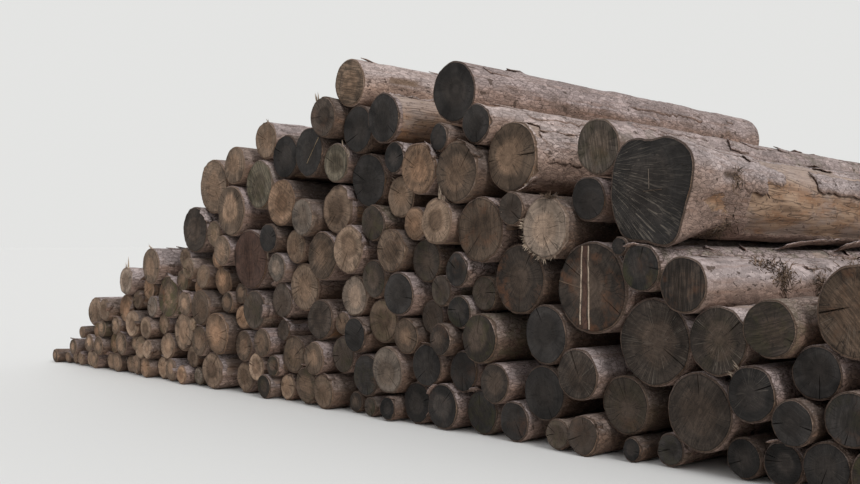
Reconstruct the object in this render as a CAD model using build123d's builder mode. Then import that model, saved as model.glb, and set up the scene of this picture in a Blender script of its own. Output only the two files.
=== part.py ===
"""A heap of felled logs, four metres long, laid side by side with their butt ends to the front.

Every log is a tapered solid of its own. The heap is laid from the ground up, as a loader lays it:
each log takes the place near its own where it lies steady on the ground or on two logs below it.
X runs along the face of the heap, Y from the face to the far ends, Z up, in millimetres.
"""
from build123d import *
from math import atan2, cos, hypot, pi, radians, sin, sqrt
import os

os.makedirs("parts", exist_ok=True)

# driving dimensions
LOG_LENGTH = 4100.0      # four metre saw logs with their trimming allowance
END_SCATTER = 70.0       # how far the butt ends stand in or out of the face
TAPER = 0.065            # share of its thickness that a log loses from butt to top
SEAT_GAP = 0.3           # clearance left where two logs bear on each other
SIDE_LENGTH = 52.0       # width of the flats that the round of a log is made of
FEWEST_SIDES = 14
MOST_SIDES = 26

# how the heap is laid
GROUND_SLACK = 60.0      # logs on the ground with less than this between them lie close
FIT_RANGE = 0.21         # a common log may be this share thicker or thinner, to lie at its place
FIT_STEPS = 5
FIT_COST = 0.5           # what a millimetre off a common log's radius counts against one of place
EARLY_SHARE = 0.7        # thick logs are laid before thin ones of the same height

# the heart-shaped log: its butt flares out to the roots and has a notch in its upper side
NOTCH_DIRECTION = 84.0   # degrees from the level, in the face
NOTCH_HALF_ANGLE = 17.0
NOTCH_DEPTH = 0.24       # share of the radius
FLARE_LENGTH = 650.0
FLARE_SHARE = 0.1        # how much thinner the stem is behind the flare
MM_PER_CM = 10.0
GOLDEN_SHARE = (sqrt(5) - 1) / 2

# The logs as they show on the face, in centimetres: the place along the face, the height of the
# middle and the diameter. Each node is one stretch of the heap.
HEAP = {
    "left_tail_logs": [
        (9, 9, 17), (27, 8, 15), (46, 25, 16), (46, 9, 16), (66, 10, 18), (79, 36, 21),
        (88, 11, 21), (112, 12, 22), (93, 69, 35), (119, 45, 20), (137, 51, 21), (137, 11, 21),
        (160, 53, 26), (134, 72, 25), (174, 82, 28), (105, 33, 20), (68, 27, 15), (160, 12, 23),
        (128, 31, 19), (150, 32, 20), (176, 35, 22)],
    "left_shoulder_logs": [
        (185, 11, 21), (209, 12, 24), (235, 12, 23), (262, 13, 26), (290, 13, 25), (203, 61, 25),
        (208, 83, 22), (199, 111, 32), (222, 100, 26), (276, 93, 46), (259, 133, 34),
        (200, 36, 22), (224, 36, 24), (250, 35, 23), (275, 38, 24), (228, 62, 26),
        (250, 63, 24), (236, 86, 20)],
    "left_bottom_logs": [
        (317, 9, 21), (338, 10, 20), (373, 21, 39), (421, 17, 32), (448, 29, 26), (343, 50, 33),
        (302, 59, 36), (325, 65, 21), (371, 60, 37), (413, 48, 32), (456, 57, 26), (430, 70, 26),
        (401, 78, 29), (357, 85, 31), (327, 90, 23), (449, 87, 33), (479, 66, 23), (318, 34, 22),
        (470, 12, 24), (499, 54, 30), (472, 34, 22)],
    "left_middle_logs": [
        (329, 122, 30), (324, 149, 23), (363, 102, 33), (360, 132, 22), (363, 158, 29),
        (392, 141, 32), (392, 108, 30), (442, 135, 61), (474, 154, 37), (335, 181, 42),
        (418, 190, 46), (383, 213, 58), (300, 114, 26), (298, 86, 22), (420, 100, 24)],
    "left_top_logs": [
        (426, 233, 39), (470, 251, 38), (460, 212, 42), (485, 189, 38), (507, 222, 43),
        (541, 226, 52), (568, 262, 46), (606, 296, 42), (650, 258, 37), (620, 220, 42),
        (578, 220, 37), (693, 215, 36), (612, 252, 36), (662, 224, 32)],
    "middle_logs": [
        (530, 177, 37), (504, 157, 30), (494, 128, 29), (521, 121, 38), (548, 144, 39),
        (591, 143, 44), (576, 183, 41), (614, 173, 33), (661, 189, 44), (697, 178, 23),
        (667, 146, 37), (597, 105, 38), (635, 119, 35), (676, 108, 38), (645, 83, 38),
        (613, 69, 32), (512, 90, 34), (560, 91, 36), (654, 43, 43), (613, 35, 39),
        (683, 73, 32)],
    "middle_bottom_logs": [
        (500, 13, 26), (532, 18, 36), (570, 16, 32), (603, 10, 20), (630, 9, 18), (660, 11, 22),
        (692, 18, 36), (729, 19, 38), (766, 18, 36), (803, 16, 32), (535, 53, 32), (570, 54, 34),
        (697, 54, 34), (733, 56, 34), (769, 54, 34), (803, 48, 30), (715, 86, 32), (748, 88, 34),
        (783, 82, 34), (584, 76, 26)],
    "right_top_logs": [
        (708, 240, 24), (730, 272, 55), (762, 246, 33), (737, 211, 50), (795, 217, 66), (771, 158, 62),
        (725, 163, 47), (698, 137, 35), (736, 126, 36), (770, 106, 36), (714, 108, 30),
        (851, 166, 48), (817, 125, 48)],
    "heart_shaped_log": [(935, 184, 76)],
    "right_logs": [
        (890, 218, 42), (878, 120, 65), (953, 129, 38), (930, 86, 53), (978, 92, 43),
        (1018, 104, 39), (1082, 113, 54), (873, 56, 46), (914, 33, 43), (962, 41, 54),
        (1015, 57, 40), (1051, 74, 35), (1085, 53, 35), (880, 15, 30), (837, 41, 35),
        (850, 12, 24), (1002, 14, 28), (830, 86, 38), (816, 178, 26), (890, 190, 28), (903, 148, 17),
        (944, 12, 24), (915, 9, 18), (921, 138, 28)],
    "right_tail_logs": [
        (1032, 15, 30), (1065, 17, 34), (1100, 17, 34), (1134, 16, 32), (1167, 15, 30),
        (1198, 14, 28), (1226, 13, 26), (1252, 12, 24), (1276, 11, 22), (1298, 10, 20),
        (1050, 46, 30), (1118, 50, 34), (1151, 48, 32), (1183, 45, 30), (1213, 41, 28),
        (1240, 38, 26), (1120, 86, 36), (1155, 80, 34), (1187, 74, 30), (1216, 68, 26),
        (1140, 118, 32), (1172, 108, 30)],
}
HEART_SHAPED = "heart_shaped_log"


class Log:
    """One log: its node, the place wanted for it, its radius, and the place it takes."""

    def __init__(self, node, number, place, height, diameter):
        self.node = node
        self.number = number
        self.wanted_x = place * MM_PER_CM
        self.wanted_z = height * MM_PER_CM
        self.radius = diameter * MM_PER_CM / 2
        self.x = self.wanted_x
        self.z = self.radius
        self.bearings = []


def overlaps(x, z, radius, laid):
    """Whether a round at x, z would run into a log that already lies there."""
    for other in laid:
        reach = other.radius + radius + SEAT_GAP
        if hypot(x - other.x, z - other.z) < reach - 1e-6:
            return True
    return False


def seats_beside(radius, other):
    """The two places on the ground where a round leans against another log."""
    reach = other.radius + radius + SEAT_GAP
    rise = radius - other.z
    if abs(rise) >= reach:
        return []
    run = sqrt(reach ** 2 - rise ** 2)
    return [(other.x - run, radius), (other.x + run, radius)]


def lies_steady(x, z, first, second):
    """Whether the weight of a round at x, z falls between the two logs that bear it."""
    lean_1 = ((x - first.x), (z - first.z))
    lean_2 = ((x - second.x), (z - second.z))
    turn = lean_1[0] * lean_2[1] - lean_1[1] * lean_2[0]
    if abs(turn) < 1e-3:
        return False
    return -lean_2[0] / turn > 0 and lean_1[0] / turn > 0


def seats_between(radius, first, second):
    """The places where a round bears on two logs and lies steady."""
    reach_1 = first.radius + radius + SEAT_GAP
    reach_2 = second.radius + radius + SEAT_GAP
    dx = second.x - first.x
    dz = second.z - first.z
    apart = hypot(dx, dz)
    if apart >= reach_1 + reach_2 or apart <= abs(reach_1 - reach_2):
        return []
    along = (reach_1 ** 2 - reach_2 ** 2 + apart ** 2) / (2 * apart)
    off = sqrt(reach_1 ** 2 - along ** 2)
    seats = []
    for side in (-1, 1):
        x = first.x + (dx * along - dz * off * side) / apart
        z = first.z + (dz * along + dx * off * side) / apart
        if z >= radius and lies_steady(x, z, first, second):
            seats.append((x, z))
    return seats


def seats_for(log, laid, common_radius):
    """Every place where a log lies steady, on the ground against a log or between two logs, at
    its own thickness or a little off it, with the nearest to the place wanted first."""
    seats = []
    reach = 2.6 * log.radius + 700.0
    near = [one for one in laid
            if hypot(one.x - log.wanted_x, one.z - log.wanted_z) < one.radius + reach]
    leeway = FIT_RANGE * sqrt(log.radius * common_radius)
    cost = FIT_COST * log.radius / common_radius
    for step in range(-FIT_STEPS, FIT_STEPS + 1):
        radius = log.radius + leeway * step / FIT_STEPS
        found = []
        for index, first in enumerate(near):
            found += seats_beside(radius, first)
            for second in near[index + 1:]:
                found += seats_between(radius, first, second)
        for x, z in found:
            miss = hypot(x - log.wanted_x, z - log.wanted_z) + abs(radius - log.radius) * cost
            seats.append((miss, x, z, radius))
    return sorted(seats)


def lay_ground_course(logs):
    """Lays the logs of the ground course from left to right, close against each other unless a
    log of the next course has room to settle between them."""
    course = sorted(logs, key=lambda one: one.wanted_x)
    for index in range(1, len(course)):
        log = course[index]
        against = seats_beside(log.radius, course[index - 1])[1][0]
        outermost = index in (1, len(course) - 1)
        if outermost or log.wanted_x < against + GROUND_SLACK:
            log.x = against
    return course


def lay_heap(logs):
    """Lays the ground course, then the other logs from the lowest to the highest, each in the
    free seat nearest its place. A log on the ground has no room under it for another."""
    thinnest = min(log.radius for log in logs)
    common_radius = sum(log.radius for log in logs) / len(logs)
    laid = lay_ground_course([log for log in logs if log.wanted_z - log.radius < thinnest])
    higher = [log for log in logs if log not in laid]
    for log in sorted(higher, key=lambda one: one.wanted_z - EARLY_SHARE * one.radius):
        for miss, x, z, radius in seats_for(log, laid, common_radius):
            if not overlaps(x, z, radius, laid):
                log.x = x
                log.z = z
                log.radius = radius
                laid.append(log)
                break
    return laid


def find_bearings(laid):
    """Notes for each log the directions in which it bears on the ground and on other logs."""
    for index, log in enumerate(laid):
        if log.z - log.radius < SEAT_GAP:
            log.bearings.append(-pi / 2)
        for other in laid[index + 1:]:
            apart = hypot(other.x - log.x, other.z - log.z)
            if apart < log.radius + other.radius + 2 * SEAT_GAP:
                direction = atan2(other.z - log.z, other.x - log.x)
                log.bearings.append(direction)
                other.bearings.append(direction + pi)


def corner_angles(log):
    """Corners round a log, one on each line where it bears and the rest evenly between them."""
    sides = min(MOST_SIDES, max(FEWEST_SIDES, 2 * pi * log.radius / SIDE_LENGTH))
    bearings = sorted(angle % (2 * pi) for angle in log.bearings)
    angles = []
    for index, start in enumerate(bearings):
        after = bearings[index + 1] if index + 1 < len(bearings) else bearings[0] + 2 * pi
        steps = max(1, round((after - start) / (2 * pi) * sides))
        angles += [start + (after - start) * step / steps for step in range(steps)]
    return angles


def outline(log):
    """The corners of a log's end about its own middle, for a radius of one."""
    angles = corner_angles(log)
    if log.node != HEART_SHAPED:
        return [(cos(angle), sin(angle)) for angle in angles]
    middle = radians(NOTCH_DIRECTION)
    half = radians(NOTCH_HALF_ANGLE)
    points = [(angle % (2 * pi), 1.0) for angle in angles if cos(angle - middle) < cos(1.2 * half)]
    points += [(middle - half, 1.0), (middle, 1.0 - NOTCH_DEPTH), (middle + half, 1.0)]
    return [(share * cos(angle), share * sin(angle)) for angle, share in sorted(points)]


def scatter(number):
    """A value between -1 and 1 that jumps about from one log to the next."""
    return 2 * (number * GOLDEN_SHARE % 1.0) - 1


def section_corners(log, shape, depth, foot_x, share=1.0):
    """The corners of a log's section at a depth behind the face. All logs narrow towards one far
    point on the ground, so that they bear on each other along their whole length."""
    narrowing = 1 - TAPER * depth / LOG_LENGTH
    x = foot_x + (log.x - foot_x) * narrowing
    z = log.z * narrowing
    radius = share * log.radius * narrowing
    return [(x + radius * px, depth, z + radius * pz) for px, pz in shape]


def make_log(log, foot_x):
    """A log from its butt to its top end, with a flat between each two corners."""
    shape = outline(log)
    front = END_SCATTER * scatter(log.number)
    back = front + LOG_LENGTH
    sections = [section_corners(log, shape, front, foot_x)]
    if log.node == HEART_SHAPED:
        stem = 1 - FLARE_SHARE
        sections.append(section_corners(log, shape, front + FLARE_LENGTH, foot_x, stem))
        sections.append(section_corners(log, shape, back, foot_x, stem))
    else:
        sections.append(section_corners(log, shape, back, foot_x))
    faces = [Face(Wire.make_polygon(sections[0])), Face(Wire.make_polygon(sections[-1]))]
    for near, far in zip(sections, sections[1:]):
        for corner in range(len(shape)):
            flat = [near[corner - 1], near[corner], far[corner], far[corner - 1]]
            faces.append(Face(Wire.make_polygon(flat)))
    return Solid(Shell(faces))


logs = []
for node, rows in HEAP.items():
    for place, height, diameter in rows:
        logs.append(Log(node, len(logs), place, height, diameter))
laid = lay_heap(logs)
find_bearings(laid)
heap_left = min(log.x - log.radius for log in laid)
heap_right = max(log.x + log.radius for log in laid)
heap_middle = (heap_left + heap_right) / 2

stretches = {}
for node in HEAP:
    with BuildPart() as stretch:
        add([make_log(log, heap_middle) for log in laid if log.node == node])
    stretches[node] = stretch.part

# the origin goes to the middle of the heap's footprint, on the ground
boxes = [part.bounding_box() for part in stretches.values()]
middle_x = (min(box.min.X for box in boxes) + max(box.max.X for box in boxes)) / 2
middle_y = (min(box.min.Y for box in boxes) + max(box.max.Y for box in boxes)) / 2
for node, part in stretches.items():
    placed = Pos(-middle_x, -middle_y, 0) * part
    placed.label = node
    export_step(placed, f"parts/{node}.step")
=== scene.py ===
"""A heap of four metre saw logs, dressed: bark, torn bark edges, sawn ends, splits and splinters.

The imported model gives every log's place and thickness. Each log is built again over its solid,
with a knotty barrel, bark that stops short of the cut, and a sawn face that has its own look.
"""
import bpy
import numpy as np
from math import atan2, cos, hypot, pi, radians, sin
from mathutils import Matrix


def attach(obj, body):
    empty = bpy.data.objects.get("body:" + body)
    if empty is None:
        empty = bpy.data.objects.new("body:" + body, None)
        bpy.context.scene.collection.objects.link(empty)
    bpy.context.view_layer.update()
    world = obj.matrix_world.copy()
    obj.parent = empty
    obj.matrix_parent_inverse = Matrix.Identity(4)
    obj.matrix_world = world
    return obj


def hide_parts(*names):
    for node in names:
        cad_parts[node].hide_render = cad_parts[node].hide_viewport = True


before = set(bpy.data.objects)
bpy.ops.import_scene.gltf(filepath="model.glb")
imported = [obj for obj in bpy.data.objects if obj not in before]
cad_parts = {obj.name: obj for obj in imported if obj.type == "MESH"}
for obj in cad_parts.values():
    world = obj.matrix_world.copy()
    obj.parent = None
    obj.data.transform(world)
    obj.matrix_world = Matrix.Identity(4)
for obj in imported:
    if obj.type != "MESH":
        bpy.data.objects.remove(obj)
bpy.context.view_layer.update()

# the photograph's frame and where it was taken from, in metres
PHOTO_WIDTH = 860
FOCAL_PIXELS = 1194.0
SENSOR_MM = 36.0
VIEW_AZIMUTH = 48.5  # degrees
HEAP_LEFT = -6.526  # the left end of the face, from which places are counted
FACE_DEPTH = -2.05
EYE_ALONG = 14.378  # along the face from the heap's left end
EYE_BEFORE = 6.447  # in front of the face
EYE_HEIGHT = 1.53
HORIZON_DROP = 2.0  # pixels from the horizon down to the middle of the photograph

# the floor and the light
WHITE = (1.0, 1.0, 1.0, 1.0)
FLOOR_COLOUR = (0.74, 0.74, 0.73, 1.0)
BACKDROP_COLOUR = (0.775, 0.777, 0.766, 1.0)
FLOOR_RADIUS = 260.0
FLOOR_CORNERS = 64
CLIP_END = 400.0  # past the far rim of the floor
SKY_LEVEL = 0.72
SUN_LEVEL = 1.7
SUN_SOFTNESS = 22.0
SUN_AZIMUTH = 8.0  # degrees in front of the face's line, seen from the right
SUN_HEIGHT = 38.0

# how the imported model's logs are read, in metres
SAME_PLACE = 1e-4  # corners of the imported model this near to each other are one
AT_CUT = 0.001  # corners this near to a log's end are on its cut
TRUE_ROUND = 0.002  # how far a corner may lie off a true round

# how finely a log is modelled, in metres
OPEN_SPACING = 0.019  # between corners round a log, where the barrel lies open
LISTED_SPACING = 0.03  # and at most on a log that is listed below
HIDDEN_SPACING = 0.043
FEWEST_COLUMNS = 28
OPEN_STEP = 0.043  # along a barrel that lies open
HIDDEN_STEP = 0.62
END_ZONE = 0.10  # the barrel next to a cut, where the bark is torn
LISTED_SHARES = [0.12, 0.25, 0.4, 0.55, 0.7, 0.82, 0.93]  # rings of corners on a sawn face
PLAIN_SHARES = [0.35, 0.7, 0.93]
SKY_WAYS = 48  # directions round a log in which sky is looked for
SKY_LEANS = [-60, -40, -20, 0, 20, 40, 60]  # and how far to both sides of each, in degrees
OPEN_SPOT = 0.12  # how much sky a spot needs to lie open, as a share
OPEN_LOG = 0.06  # how much of its girth a log needs for that
LOWEST_RAY = 0.05  # the sine of the lowest angle at which sky counts

# the surface, in metres
BARK_THICKNESS = 0.009
BARK_PER_RADIUS = 0.02
LOBES = 0.035  # how far a log is from round, as a share of its radius
LUMPS = 0.006
KNUBS = 0.0025
KNOT_RISE = 0.35  # how far a knot stands out, as a share of its size
KNOTS = (3, 9)  # how many a log has: at least, and fewer than
KNOT_SIZES = (0.025, 0.055)
KNOT_PLACES = (0.3, 3.9)  # how far behind the cut
SCAR_DEPTH = 0.008
SPLIT_DEPTH = 0.022  # how far a drying split sinks into the cut
SAW_MARKS = 0.0012
TORN_BACK = 0.004  # how far back the bark is torn at a cut, and how that varies
TORN_SWING = 0.026
TORN_FRAY = 0.008
TORN_RANGE = (0.0005, 0.065)
CUT_TILT = 2.0  # degrees that a saw cut may lean
PITH_SHARE = 0.16  # how far the pith may lie from the middle
GRAIN_TURN = 3.7  # radians that the ridges on a face turn for each metre of its luck
FLOOR_GAP = 0.0005  # nothing reaches below this
RAIL_STEPS = 24
RAIL_RISE = (0.0005, 0.004, 0.0005)  # how proud a raised line is at its edges and middle

# plates of bark, in metres
PLATE_ROW = 0.035  # between corners along the log
PLATE_COLUMN = 0.022  # and round it
PLATE_THICK = 0.008
PLATE_SUNK = 0.004  # how far its underside lies in the barrel
FLAP_THICK = 0.006  # a flap stands out before the cut
FLAP_BACK = 0.09  # and reaches this far behind it
# plates that hang under a log: loose bark that also stands in for the shade in the gap beneath it
HANGING_SHADE_THICK = 0.009
HANGING_SHADE_LIFT = 0.07
SCALES_A_LOG = 14  # small plates on a barrel that lies open
SCALES_SKY = 0.3  # where it sees at least this share of the sky
SCALES_AT = (0.12, 3.7)  # how far behind the cut they start
SCALE_WIDTHS = (0.03, 0.10)
SCALE_LENGTHS = (0.06, 0.30)
SCALE_LIFTS = (0.0, 0.028)  # how far about half of them stand off the barrel
SMALL_FLAP_ARCS = (15, 40)  # on half of the logs that aren't listed, in degrees
SMALL_FLAP_OUT = (0.005, 0.03)  # how far it stands out before the cut, and how far it lifts
SMALL_FLAP_BACK = 0.07
SMALL_FLAP_THICK = 0.005

# slivers and litter, in metres
LONG_SPIKE = 0.09  # spikes longer than this stand upright
SPIKE_WIDTHS = (0.002, 0.016)
LITTER_LENGTHS = (0.02, 0.08)
LITTER_WIDTHS = (0.0015, 0.0065)
LITTER_LIFTS = (-0.002, 0.014)  # how far a bit's foot lies off the barrel

# the heart-shaped log at its cut: how far it reaches in each direction, degrees and metres
HEART_OUTLINE = [(0, 0.430), (14, 0.466), (27, 0.498), (38, 0.494), (50, 0.462), (62, 0.418),
                 (73, 0.368), (83, 0.338), (94, 0.364), (112, 0.388), (125, 0.378), (140, 0.350),
                 (160, 0.308), (180, 0.298), (198, 0.306), (216, 0.330), (236, 0.380),
                 (252, 0.385), (268, 0.366), (280, 0.380), (297, 0.468), (306, 0.484),
                 (316, 0.452), (330, 0.402), (345, 0.404)]
STEM_SHARE = 0.9  # its stem behind the flare, as a share of the butt
FLARE_LENGTH = 0.65  # where the flare has run out into the barrel
FREE_SIDE = radians(28)  # it runs out more slowly on this side
FREE_FLARE = 1.9  # and this much further along
FAN_LEFT = 0.52  # its torn fibres fan out from this far left of the pith
FAN_HIGH = 0.12  # and this far above it
HEART = "heart_shaped_log"

# the two materials of a log, by their order
SAWN_KIND = 0
BARK_KIND = 1

# tints of sawn wood, as written in linear light
TINTS = {
    "pale": (0.290, 0.220, 0.170),
    "tan": (0.225, 0.155, 0.108),
    "orange": (0.235, 0.147, 0.094),
    "brown": (0.135, 0.092, 0.064),
    "grey": (0.165, 0.130, 0.104),
    "green": (0.130, 0.108, 0.077),
    "red": (0.080, 0.043, 0.031),
    # dark and black are partly painted shade, for sawn faces that lie in shadow
    "dark": (0.062, 0.046, 0.036),
    "black": (0.029, 0.025, 0.023),
    "cream": (0.420, 0.330, 0.250),
    "straw": (0.340, 0.250, 0.150),
}
# and of bark
BARKS = {
    "chalk": (0.470, 0.385, 0.360),
    "ash": (0.380, 0.316, 0.304),
    "rose": (0.342, 0.274, 0.260),
    "umber": (0.240, 0.182, 0.156),
    "soot": (0.150, 0.115, 0.098),
}
# what else shows on the sawn wood
WARMTH = (1.15, 0.92, 0.72)
RUST = (0.150, 0.064, 0.030)
MOSS = (0.088, 0.082, 0.036)
TORN_FIBRE = (0.26, 0.22, 0.18)
SPLIT_SHADE = (0.022, 0.017, 0.014)
# what else shows on the bark
BARK_STREAK = (0.235, 0.135, 0.090)
BARK_FLAKE = (0.42, 0.350, 0.325)
# painted shade: the bark is darker and browner on the underside of a barrel
BARK_UNDERSIDE_SHADE = (0.80, 0.66, 0.54)
# partly the darker bark in the furrows, partly painted shade in the hollows
BARK_FURROW_SHADE = (0.070, 0.047, 0.036)
BARK_MOSS = (0.10, 0.105, 0.045)
RIND = [(0.105, 0.062, 0.042), (0.165, 0.105, 0.072)]
# the wood that shows where bark is off
WORN_WOOD = [(0.370, 0.250, 0.168), (0.275, 0.148, 0.080)]
WORN_GREY = (0.320, 0.250, 0.212)
WORN_STREAK = (0.130, 0.074, 0.045)
# partly bleaching, partly painted light on the top of a log
SUN_BLEACH_AND_LIGHT = (0.350, 0.275, 0.240)
# painted shade in the cracks of bare wood
WORN_CRACK_SHADE = (0.070, 0.044, 0.032)
BARK_CRUMB = (0.42, 0.31, 0.20)
BARK_SCRAP = (0.13, 0.085, 0.065)

# hanging plates are loose bark that also stand in for the shade in the gap beneath a log
# Logs that stand out: place along the face and height in centimetres, the tint of the sawn face,
# and what is particular to it. Directions are in degrees, anticlockwise from the right.
# bark: its tint
# shade: how light the sawn face is; below 1 it is partly painted shade
# heart: how much lighter, or where negative darker, the wood near the pith is
# fan: how strongly torn fibres show as spokes, or where negative as a fan from beside the pith
# ridges, moss, rust: how strongly they show
# smooth: how far the furrows in the bark are worn away
# lobes: how far it is from round
# torn and peel: how far back the bark is torn at the cut, and how much is off elsewhere
# thick: in which direction the bark is thicker, and by how much
# splits: direction, half width, and the share of the radius where it starts
# flaps: from and to direction, how far it stands out before the cut, and how far it lifts
# plates and hanging: from and to direction, and from and to how far behind the cut
# grain: which way the ridges on the face run, from upright
# scar: direction, from and to how far behind the cut, and half width
# strips, where bark is off: direction, half angle, and from and to how far behind the cut
# spikes: from and to direction, how many, and how long
# rails: pale lines on the face, from (x, z) to (x, z) about its middle, and half width and tint
# litter: direction, how far behind the cut, how wide it spreads, and how many bits
# the black and dark faces in this list and their low shades are partly painted shade
LOOKS = [
    (729, 273, "black", dict(
        bark="rose", heart=0.1, ridges=0.1, torn=0.2, peel=0.10, splits=[],
        plates=[(20, 75, 2.0, 3.1), (-35, 10, 1.1, 2.4)])),
    (760, 244, "black", dict(bark="chalk", peel=0.05, plates=[(30, 95, 0.5, 1.6)])),
    (720, 236, "black", dict()),
    (743, 207, "brown", dict(shade=0.85, heart=0.5, ridges=0.5, flaps=[(28, 74, 0.05, 0.03)])),
    (796, 217, "tan", dict(
        shade=0.68, bark="chalk", heart=0.6, splits=[(4, 0.008, 0.4), (186, 0.004, 0.6)],
        peel=0.12, torn=1.8, strips=[(66, 34, -0.5, 0.14)],
        plates=[(-10, 42, 0.13, 0.9), (46, 92, 0.16, 1.3)],
        flaps=[(-64, -50, 0.05, 0.03), (-46, -36, 0.03, 0.05)], spikes=[(-58, -20, 9, 0.07)])),
    (880, 220, "grey", dict(
        shade=0.75, bark="rose", ridges=1.1, moss=0.2, rust=0.3, torn=0.3, heart=-0.1, grain=8,
        splits=[], plates=[(48, 100, 0.3, 1.2)])),
    (927, 187, "black", dict(
        bark="ash", fan=-1.0, ridges=0.5, torn=0.2,
        strips=[(-24, 36, 0.75, 9), (62, 22, 1.0, 2.4), (22, 34, 1.25, 9)],
        scar=(17, 0.42, 0.62, 0.018), splits=[], peel=0.0, grain=86,
        rails=[(0.045, 0.135, 0.050, 0.0, 0.003, "grey"),
               (0.0, -0.015, 0.16, -0.005, 0.0018, "brown")],
        plates=[(48, 88, 0.25, 1.1), (14, 46, 1.9, 2.9), (70, 112, 2.3, 3.5), (1, 22, 0.72, 1.05)],
        # loose bark hung below, also standing in for the shade in the gap beneath the log
        hanging=[(-115, -62, 1.6, 2.5), (-104, -55, 2.5, 3.3), (-120, -66, 3.2, 3.9)],
        litter=[(-52, 0.62, 0.15, 190), (14, 0.62, 0.08, 60)])),
    (768, 161, "brown", dict(
        shade=0.6, bark="rose", heart=-0.5, ridges=0.6, torn=1.6, rust=0.6, fan=0.1, grain=6,
        strips=[(35, 34, -0.5, 0.2)], flaps=[(26, 52, 0.03, 0.05)],
        spikes=[(-50, 28, 18, 0.035)])),
    (840, 162, "pale", dict(
        heart=0.1, fan=0.3, splits=[(-72, 0.003, 0.1), (-50, 0.002, 0.3)], lobes=2.0,
        spikes=[(160, 300, 120, 0.05)], litter=[(84, 0.03, 0.07, 70)])),
    (878, 119, "dark", dict(
        bark="ash", thick=(15, 0.022), rust=0.6, ridges=0.4, torn=0.9,
        rails=[(-0.10, 0.36, -0.105, -0.36, 0.006, "cream"),
               (-0.045, 0.36, -0.02, -0.36, 0.006, "cream"),
               (-0.073, 0.36, -0.063, -0.36, 0.022, "red"),
               (-0.36, 0.055, -0.10, -0.005, 0.003, "brown")],
        plates=[(-30, 40, 0.06, 0.7)])),
    (962, 124, "dark", dict(
        bark="ash", ridges=1.5, heart=0.2, rust=0.45, torn=0.15, smooth=0.8, grain=0, splits=[],
        litter=[(20, 0.98, 0.14, 230), (2, 1.5, 0.12, 110), (52, 0.75, 0.08, 60),
                (80, 2.4, 0.3, 120)])),
    (1081, 111, "brown", dict(
        shade=0.8, fan=0.35, rust=0.4, ridges=0.9, grain=40,
        splits=[(184, 0.006, 0.1), (8, 0.005, 0.3)])),
    (805, 123, "dark", dict(rust=0.8, ridges=0.3)),
    (932, 83, "dark", dict(bark="ash", fan=0.4, heart=0.4, ridges=0.4)),
    (986, 88, "dark", dict(bark="ash", fan=0.5, moss=0.1, heart=0.5)),
    (1027, 99, "dark", dict(ridges=1.0, moss=0.2, heart=0.3)),
    (869, 57, "dark", dict(bark="ash", fan=0.4, ridges=0.8, rust=0.3)),
    (835, 83, "black", dict(ridges=0.2)),
    (832, 39, "black", dict()),
    (722, 168, "tan", dict(
        heart=-0.6, ridges=0.5, flaps=[(55, 85, 0.02, 0.03)], spikes=[(58, 92, 7, 0.11)])),
    (805, 176, "dark", dict()),
    (874, 183, "black", dict()),
    (1013, 57, "black", dict(spikes=[(100, 160, 10, 0.08)], fan=0.3)),
    (1054, 73, "black", dict()),
    (597, 293, "tan", dict(
        bark="chalk", ridges=1.1, heart=0.2, torn=0.3, grain=80, splits=[],
        scar=(12, 0.28, 0.60, 0.02), smooth=0.5, plates=[(-60, -20, 0.3, 1.4)])),
    (569, 263, "dark", dict(heart=-0.7, rust=0.2, torn=1.4, spikes=[(112, 142, 4, 0.18)])),
    (651, 256, "black", dict(peel=0.85, bark="rose", strips=[(30, 120, -0.5, 9)])),
    (608, 250, "black", dict()),
    (663, 223, "black", dict()),
    (697, 212, "orange", dict(heart=0.2, torn=1.2, flaps=[(20, 60, 0.02, 0.03)])),
    (663, 190, "tan", dict(heart=0.1, lobes=2.2, spikes=[(120, 150, 5, 0.06)])),
    (619, 205, "black", dict()),
    (579, 222, "green", dict(ridges=0.9, spikes=[(10, 60, 8, 0.10)])),
    (539, 234, "black", dict(fan=0.1, rails=[(-0.02, -0.10, 0.17, 0.14, 0.002, "straw")])),
    (494, 232, "black", dict(spikes=[(70, 110, 4, 0.04)])),
    (458, 251, "tan", dict(bark="ash", torn=0.9, smooth=0.6, spikes=[(60, 80, 3, 0.07)])),
    (416, 227, "tan", dict(heart=0.2)),
    (455, 207, "green", dict(moss=0.25, ridges=1.0, heart=-0.4, lobes=1.8)),
    (499, 188, "orange", dict(heart=-0.3)),
    (410, 182, "tan", dict(heart=0.6)),
    (362, 208, "tan", dict(heart=0.1)),
    (442, 134, "red", dict(heart=-0.2, spikes=[(0, 20, 5, 0.10)])),
    (482, 155, "black", dict()),
    (331, 164, "dark", dict(bark="ash", flaps=[(15, 60, 0.02, 0.02)])),
    (396, 142, "tan", dict(heart=0.2)),
    (371, 159, "tan", dict(moss=0.3)),
    (537, 174, "grey", dict(heart=-0.3, torn=1.6, lobes=1.8, spikes=[(-40, 60, 14, 0.04)])),
    (560, 138, "brown", dict(ridges=0.8, heart=0.3)),
    (604, 145, "tan", dict(heart=-0.5, torn=1.2, flaps=[(10, 34, 0.02, 0.04)])),
    (524, 109, "tan", dict(heart=0.1)),
    (602, 104, "pale", dict(heart=0.3, torn=1.3, thick=(10, 0.012))),
    (578, 181, "brown", dict(heart=-0.7, flaps=[(20, 50, 0.04, 0.04)])),
    (687, 167, "orange", dict(heart=-0.2)),
    (663, 144, "brown", dict(rust=0.5, ridges=0.8)),
    (278, 91, "tan", dict(moss=0.7, rust=0.8, bark="ash", flaps=[(30, 80, 0.03, 0.04)])),
    (249, 124, "tan", dict(bark="ash", spikes=[(40, 110, 9, 0.08)])),
    (187, 106, "pale", dict(bark="ash", spikes=[(40, 125, 5, 0.15)])),
    (357, 80, "brown", dict(heart=0.2)),
    (355, 115, "tan", dict()),
    (658, 43, "grey", dict(heart=-0.2)),
    (90, 65, "tan", dict(bark="ash")),
]
OWN_LOG = 6  # a look's own log lies at most this far from its place
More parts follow.
